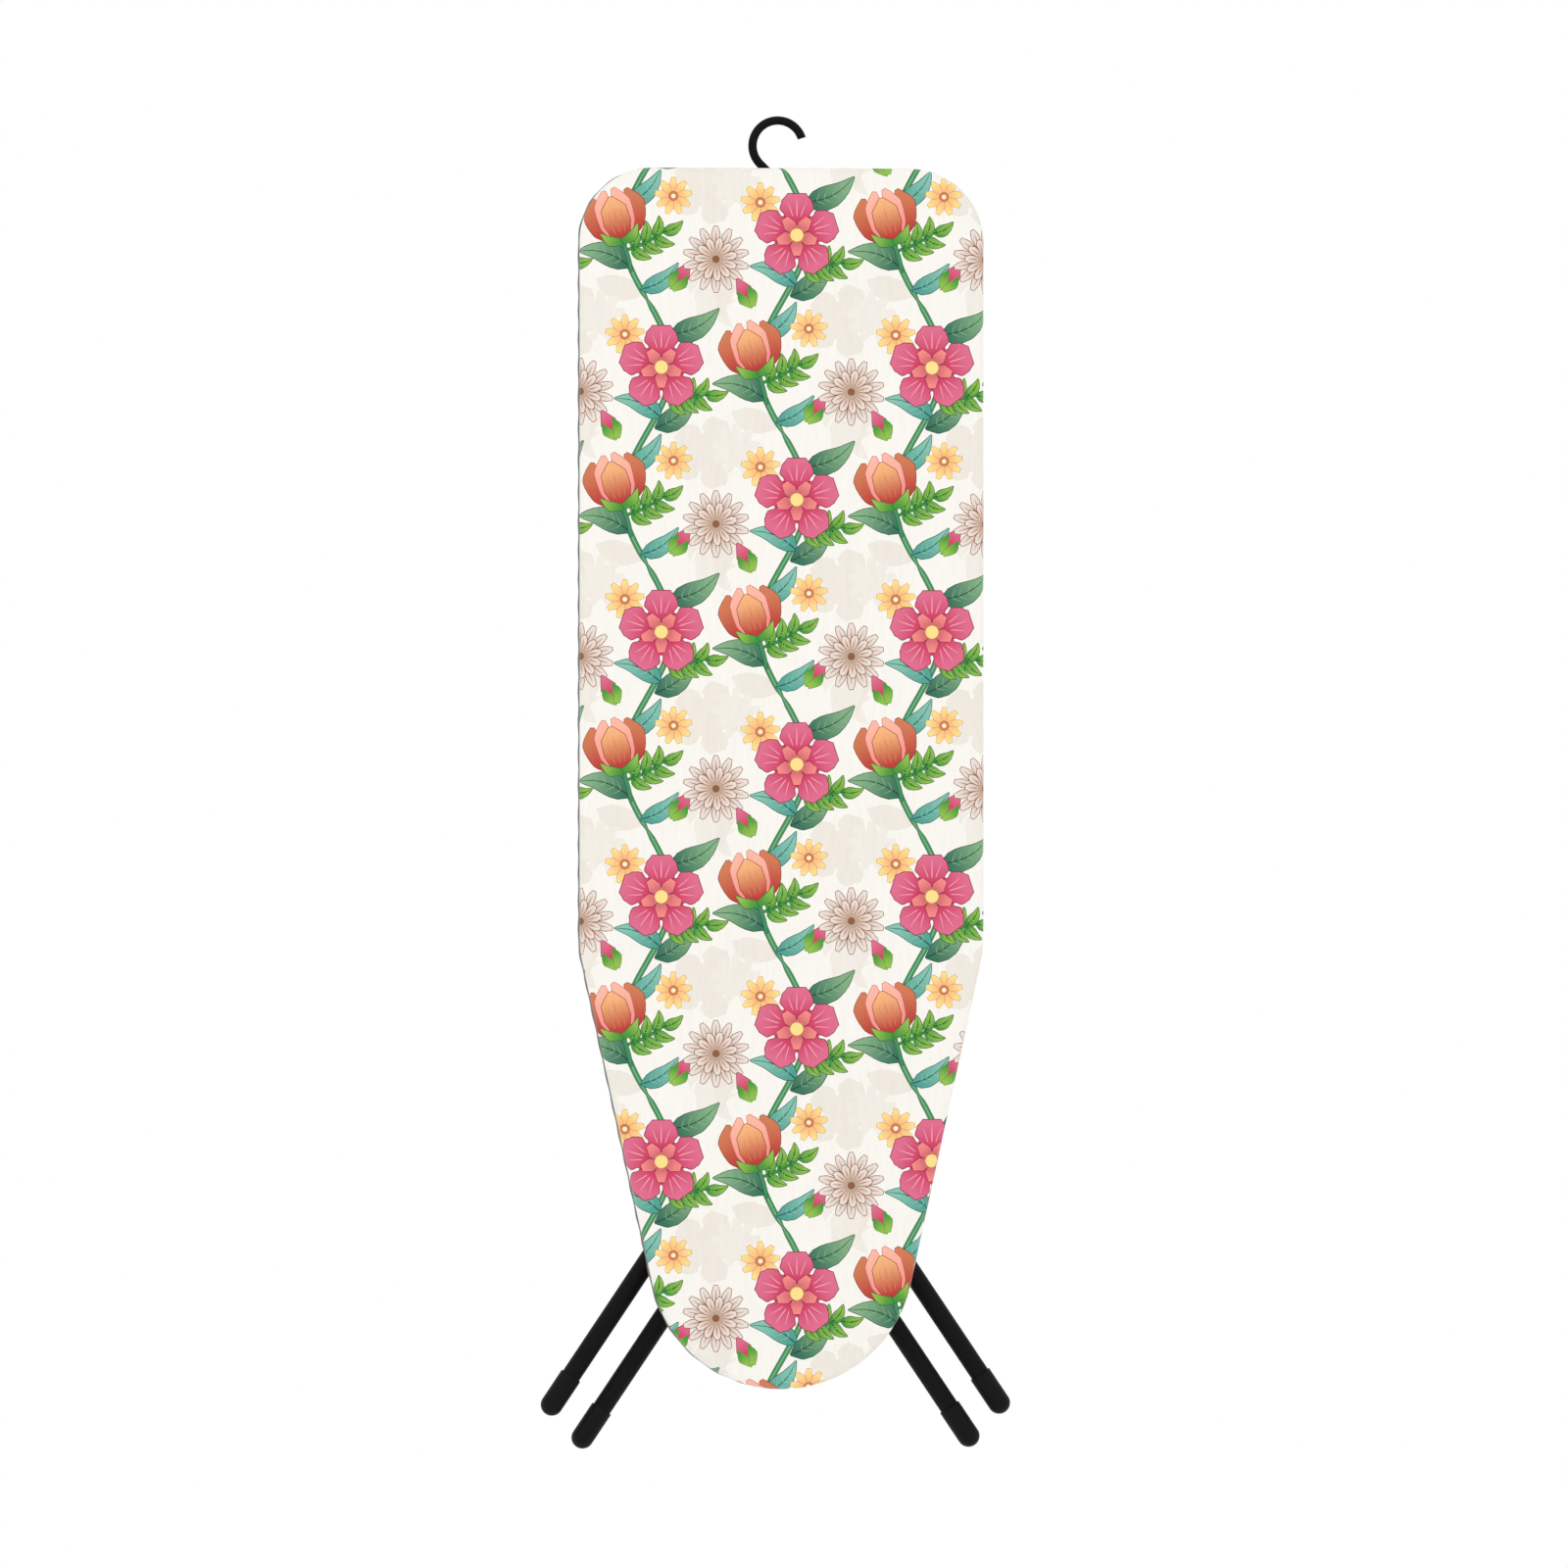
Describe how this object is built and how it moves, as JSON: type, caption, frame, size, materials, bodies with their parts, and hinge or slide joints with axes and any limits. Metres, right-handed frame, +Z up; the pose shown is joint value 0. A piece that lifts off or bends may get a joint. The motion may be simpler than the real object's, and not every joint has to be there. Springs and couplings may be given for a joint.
{
  "type": "ironing board",
  "caption": "Folding ironing board with a rounded nose and printed cotton cover, hung by a swivel hook at its heel, with two splayed tubular leg frames that fold flat behind it.",
  "frame": {"origin": "inside top of the hook's arc, where the board hangs", "axes": "+Z up, from the nose towards the heel and hook; -Y out of the ironing face; +X to the right seen from the ironing face"},
  "size_m": [0.466, 0.0771, 1.3117],
  "materials": {
    "cover_cotton": "off-white cotton with a printed pattern of scrolling vines, flowers and small birds",
    "pad_felt": "needled felt",
    "deck_mesh": "black powder-coated expanded steel mesh",
    "frame_powder_coat": "satin black powder coat",
    "leg_powder_coat": "satin black powder coat",
    "hook_coating": "matte black coating over steel wire",
    "zinc_steel": "zinc plate",
    "black_moulding": "fine-textured black moulding",
    "foot_moulding": "satin black moulding",
    "bumper_rubber": "matte rubber"
  },
  "bodies": {
    "board": {"cover": "cover_cotton", "pad": "pad_felt", "deck": "deck_mesh", "rim_heel": "frame_powder_coat", "rim_left": "frame_powder_coat", "rim_right": "frame_powder_coat", "rim_taper_left": "frame_powder_coat", "rim_taper_right": "frame_powder_coat", "rim_nose": "frame_powder_coat", "heel_rail": "frame_powder_coat", "outer_axle_rail": "frame_powder_coat", "inner_axle_rail": "frame_powder_coat", "middle_rail": "frame_powder_coat", "nose_rail": "frame_powder_coat", "hook_bracket": "frame_powder_coat", "hook_washer": "black_moulding", "hook_rivet": "zinc_steel", "outer_saddle_left": "black_moulding", "outer_saddle_right": "black_moulding", "inner_saddle_left": "black_moulding", "inner_saddle_right": "black_moulding", "saddle_screws": "zinc_steel", "leg_bumper_left": "bumper_rubber", "leg_bumper_right": "bumper_rubber"},
    "outer_legs": {"outer_axle": "leg_powder_coat", "outer_axle_plugs": "black_moulding", "outer_leg_left": "leg_powder_coat", "outer_leg_right": "leg_powder_coat", "rest_bar": "leg_powder_coat", "rest_sleeve_left": "black_moulding", "rest_sleeve_right": "black_moulding", "outer_foot_left": "foot_moulding", "outer_foot_right": "foot_moulding"},
    "inner_legs": {"inner_axle": "leg_powder_coat", "inner_axle_plugs": "black_moulding", "inner_leg_left": "leg_powder_coat", "inner_leg_right": "leg_powder_coat", "upper_brace": "leg_powder_coat", "lower_brace": "leg_powder_coat", "catch_clip_left": "black_moulding", "catch_clip_right": "black_moulding", "inner_foot_left": "foot_moulding", "inner_foot_right": "foot_moulding"},
    "hook": {"hook": "hook_coating"}
  },
  "joints": [
    {"name": "outer_leg_fold", "type": "hinge", "parent": "board", "child": "outer_legs", "pos_m": [0, 0.016, -0.19375], "axis": [1, 0, 0], "range_deg": [0, 46.6]},
    {"name": "inner_leg_fold", "type": "hinge", "parent": "board", "child": "inner_legs", "pos_m": [0, 0.016, -0.44375], "axis": [1, 0, 0], "range_deg": [0, 114.11]},
    {"name": "hook_swing", "type": "hinge", "parent": "board", "child": "hook", "pos_m": [0, 0, -0.09575], "axis": [0, 1, 0], "range_deg": [-180, 180]}
  ]
}
